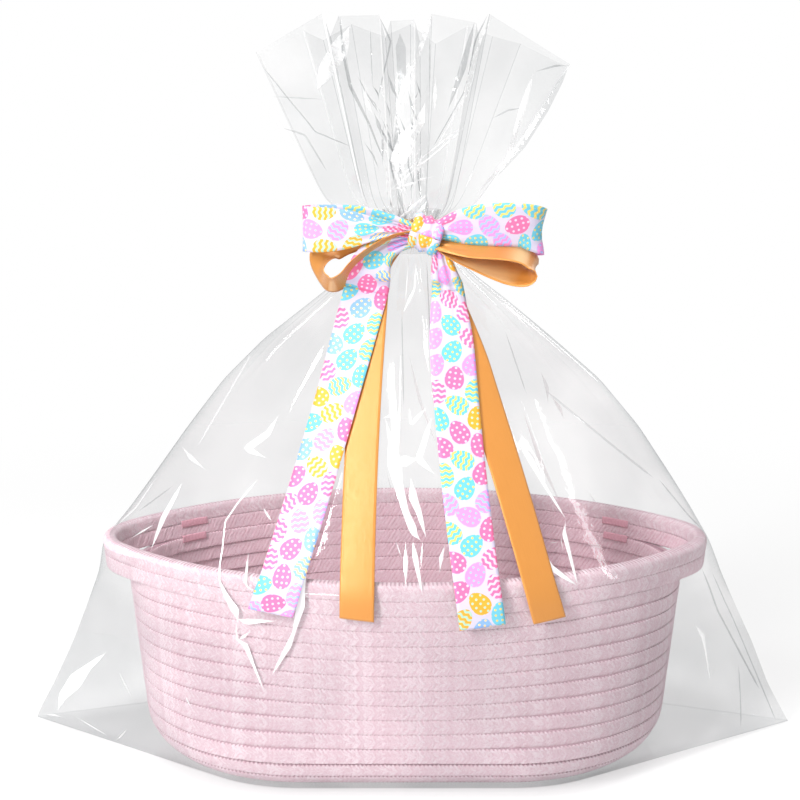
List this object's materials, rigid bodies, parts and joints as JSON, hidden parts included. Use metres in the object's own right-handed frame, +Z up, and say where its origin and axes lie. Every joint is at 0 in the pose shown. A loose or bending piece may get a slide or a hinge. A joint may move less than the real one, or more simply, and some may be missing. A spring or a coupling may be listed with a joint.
{
  "type": "gift basket",
  "caption": "Oval coiled cotton-rope basket with lug handles, in a clear film gift bag gathered at the neck and tied with a printed and a satin ribbon bow.",
  "frame": {"origin": "on the floor, under the middle of the basket", "axes": "+Z up, +X to the right-hand handle, -Y towards the bow"},
  "size_m": [0.458, 0.2198, 0.427],
  "materials": {
    "rope": "soft braided cotton, pale pink, machine stitched between courses",
    "film": "clear, crisp, glossy film",
    "satin_ribbon": "peach orange satin",
    "printed_ribbon": "printed weave, pale lavender ground with small coloured eggs"
  },
  "bodies": {
    "basket_and_bag": {"floor_turn_1": "rope", "floor_turn_2": "rope", "floor_turn_3": "rope", "floor_turn_4": "rope", "floor_turn_5": "rope", "floor_turn_6": "rope", "floor_turn_7": "rope", "wall_course_01": "rope", "wall_course_02": "rope", "wall_course_03": "rope", "wall_course_04": "rope", "wall_course_05": "rope", "wall_course_06": "rope", "wall_course_07": "rope", "wall_course_08": "rope", "wall_course_09": "rope", "wall_course_10": "rope", "wall_course_11": "rope", "wall_course_12": "rope", "wall_course_13": "rope", "wall_course_14": "rope", "handle_lower_left": "rope", "handle_lower_right": "rope", "handle_lower_front": "rope", "handle_lower_back": "rope", "handle_course_upper": "rope", "handle_tacks": "rope", "bag_floor": "film", "bag_skirt_front": "film", "bag_skirt_back": "film", "bag_tent_front": "film", "bag_tent_back": "film", "bag_neck": "film", "bag_fan_front": "film", "bag_fan_back": "film", "neck_tie": "satin_ribbon", "satin_loop_left": "satin_ribbon", "satin_loop_right": "satin_ribbon", "satin_root_left": "satin_ribbon", "satin_root_right": "satin_ribbon", "bow_knot": "printed_ribbon", "printed_loop_left": "printed_ribbon", "printed_loop_right": "printed_ribbon", "printed_root_left": "printed_ribbon", "printed_root_right": "printed_ribbon"},
    "satin_tail_left": {"satin_tail_left": "satin_ribbon"},
    "satin_tail_right": {"satin_tail_right": "satin_ribbon"},
    "printed_tail_left": {"printed_tail_left": "printed_ribbon"},
    "printed_tail_right": {"printed_tail_right": "printed_ribbon"}
  },
  "joints": [
    {"name": "satin_tail_left_lift", "type": "hinge", "parent": "basket_and_bag", "child": "satin_tail_left", "pos_m": [-0.018, -0.0279, 0.275], "axis": [-1, 0, 0], "range_deg": [0, 35]},
    {"name": "satin_tail_right_lift", "type": "hinge", "parent": "basket_and_bag", "child": "satin_tail_right", "pos_m": [0.028, -0.027, 0.275], "axis": [-1, 0, 0], "range_deg": [0, 35]},
    {"name": "printed_tail_left_lift", "type": "hinge", "parent": "satin_tail_left", "child": "printed_tail_left", "pos_m": [-0.0215, -0.0298, 0.275], "axis": [-1, 0, 0], "range_deg": [0, 18]},
    {"name": "printed_tail_right_lift", "type": "hinge", "parent": "satin_tail_right", "child": "printed_tail_right", "pos_m": [0.024, -0.0309, 0.275], "axis": [-1, 0, 0], "range_deg": [0, 18]}
  ]
}
